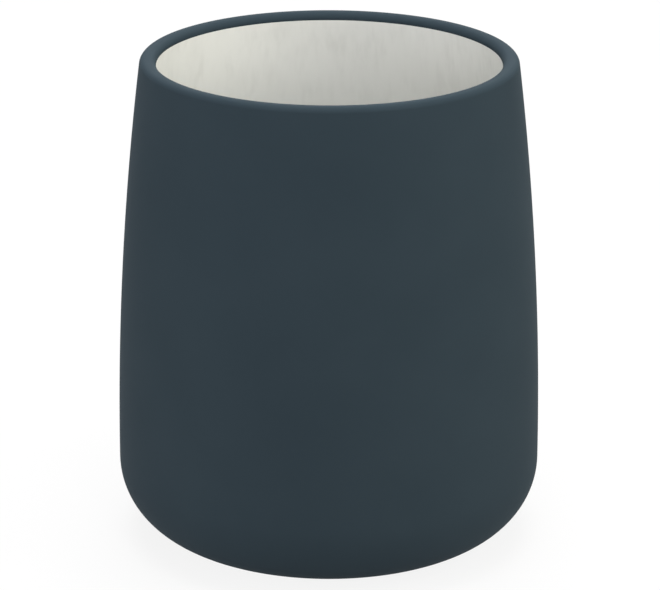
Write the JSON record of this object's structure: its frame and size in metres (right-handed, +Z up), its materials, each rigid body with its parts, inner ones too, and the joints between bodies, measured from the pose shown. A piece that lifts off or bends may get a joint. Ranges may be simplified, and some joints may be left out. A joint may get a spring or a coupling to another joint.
{
  "type": "pen holder",
  "caption": "Round upright pen holder: a ceramic pot with a leaning wall and a well-rounded base corner, matte coated outside, pale glazed inside, on grip pads in a recessed base.",
  "frame": {"origin": "centre of the pot's axis on the plane of the pads' undersides, which is the desk", "axes": "+Z up along the pot's axis of turning, towards the mouth; -Y is the front as pictured; +X is to the right seen from the front"},
  "size_m": [0.086, 0.086, 0.1],
  "materials": {
    "fired_clay": "bare, matte",
    "matte_slate_coat": "matte dark slate, soft to the touch",
    "ivory_glaze": "satin ivory glaze",
    "grip_silicone": "matte",
    "adhesive_film": "satin"
  },
  "bodies": {
    "root": {"ceramic_body": "fired_clay", "matte_coat": "matte_slate_coat", "glaze_lining": "ivory_glaze", "grip_pad_front_right": "grip_silicone", "grip_pad_back_right": "grip_silicone", "grip_pad_back_left": "grip_silicone", "grip_pad_front_left": "grip_silicone", "adhesive_film_front_right": "adhesive_film", "adhesive_film_back_right": "adhesive_film", "adhesive_film_back_left": "adhesive_film", "adhesive_film_front_left": "adhesive_film"}
  },
  "joints": []
}
